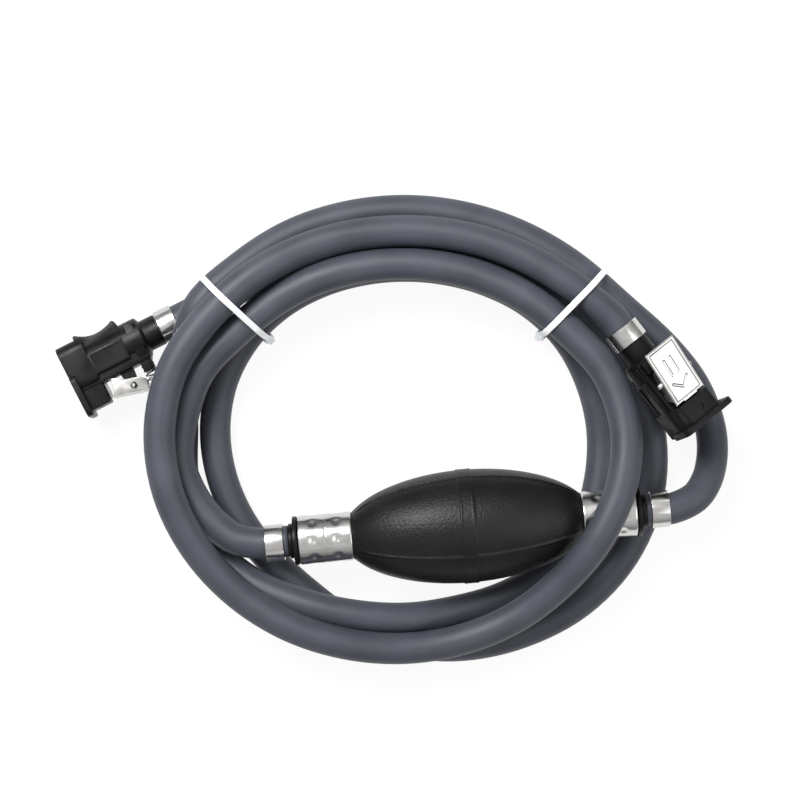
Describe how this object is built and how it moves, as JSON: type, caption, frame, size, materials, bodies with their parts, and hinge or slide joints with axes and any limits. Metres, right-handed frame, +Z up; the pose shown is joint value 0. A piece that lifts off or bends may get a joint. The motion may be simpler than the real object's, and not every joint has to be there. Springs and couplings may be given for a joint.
{
  "type": "siphon bulb pump",
  "caption": "Hand squeeze bulb with one-way valves between coiled fuel hoses, each ending in a latching quick connector, held by cable ties.",
  "frame": {"origin": "on the surface that the line lies on, under the middle of the squeeze bulb", "axes": "+X along the bulb's axis in the direction of flow, from its inlet to its outlet; +Z up, away from the surface"},
  "size_m": [0.2887, 0.2037, 0.0561],
  "materials": {
    "bulb_rubber": "fine pebbled matte",
    "hose_rubber": "smooth matte",
    "black_plastic": "satin moulded",
    "stainless_sheet": "bright rolled",
    "spring_steel": "drawn wire",
    "valve_brass": "turned",
    "seal_rubber": "smooth",
    "white_nylon": "semi-matte moulded"
  },
  "bodies": {
    "line": {"bulb": "bulb_rubber", "inlet_ferrule": "stainless_sheet", "outlet_ferrule": "stainless_sheet", "inlet_fitting": "black_plastic", "outlet_fitting": "black_plastic", "inlet_spring_cage": "black_plastic", "outlet_valve_seat": "black_plastic", "inlet_valve_spring": "spring_steel", "outlet_valve_spring": "spring_steel", "tank_hose": "hose_rubber", "engine_hose": "hose_rubber", "inlet_clamp": "stainless_sheet", "outlet_clamp": "stainless_sheet", "tank_clamp": "stainless_sheet", "engine_clamp": "stainless_sheet", "left_cable_tie": "white_nylon", "right_cable_tie": "white_nylon", "tank_housing": "black_plastic", "engine_housing": "black_plastic", "tank_barb_insert": "black_plastic", "engine_barb_insert": "black_plastic", "tank_plunger_spring": "spring_steel", "engine_plunger_spring": "spring_steel", "tank_o_ring": "seal_rubber", "engine_o_ring": "seal_rubber", "tank_latch_pin": "spring_steel", "engine_latch_pin": "spring_steel", "tank_latch_spring": "spring_steel", "engine_latch_spring": "spring_steel"},
    "inlet_valve": {"inlet_valve_poppet": "valve_brass"},
    "outlet_valve": {"outlet_valve_poppet": "valve_brass"},
    "tank_shutoff": {"tank_plunger": "valve_brass"},
    "engine_shutoff": {"engine_plunger": "valve_brass"},
    "tank_lever": {"tank_latch": "stainless_sheet"},
    "engine_lever": {"engine_latch": "stainless_sheet"}
  },
  "joints": [
    {"name": "inlet_valve_slide", "type": "slide", "parent": "line", "child": "inlet_valve", "axis": [1, 0, 0], "range_m": [0, 0.0024], "stiffness_N_per_m": 100, "springref_m": -0.001, "deforming": ["inlet_valve_spring"]},
    {"name": "outlet_valve_slide", "type": "slide", "parent": "line", "child": "outlet_valve", "axis": [1, 0, 0], "range_m": [0, 0.0024], "stiffness_N_per_m": 100, "springref_m": -0.001, "deforming": ["outlet_valve_spring"]},
    {"name": "tank_plunger_slide", "type": "slide", "parent": "line", "child": "tank_shutoff", "axis": [-0.5461, 0.8377, 0], "range_m": [0, 0.003], "stiffness_N_per_m": 250, "springref_m": -0.002, "deforming": ["tank_plunger_spring"]},
    {"name": "engine_plunger_slide", "type": "slide", "parent": "line", "child": "engine_shutoff", "axis": [0.9221, 0.3782, -0.0819], "range_m": [0, 0.003], "stiffness_N_per_m": 250, "springref_m": -0.002, "deforming": ["engine_plunger_spring"]},
    {"name": "tank_latch_hinge", "type": "hinge", "parent": "line", "child": "tank_lever", "pos_m": [0.09098, 0.05691, 0.04776], "axis": [-0.8162, -0.5321, 0.225], "range_deg": [0, 14], "stiffness_Nm_per_rad": 0.12, "springref_deg": -11.46, "deforming": ["tank_latch_spring"]},
    {"name": "engine_latch_hinge", "type": "hinge", "parent": "line", "child": "engine_lever", "pos_m": [-0.13893, 0.07254, 0.01111], "axis": [0.0758, 0.0311, 0.9966], "range_deg": [0, 14], "stiffness_Nm_per_rad": 0.12, "springref_deg": -11.46, "deforming": ["engine_latch_spring"]}
  ]
}
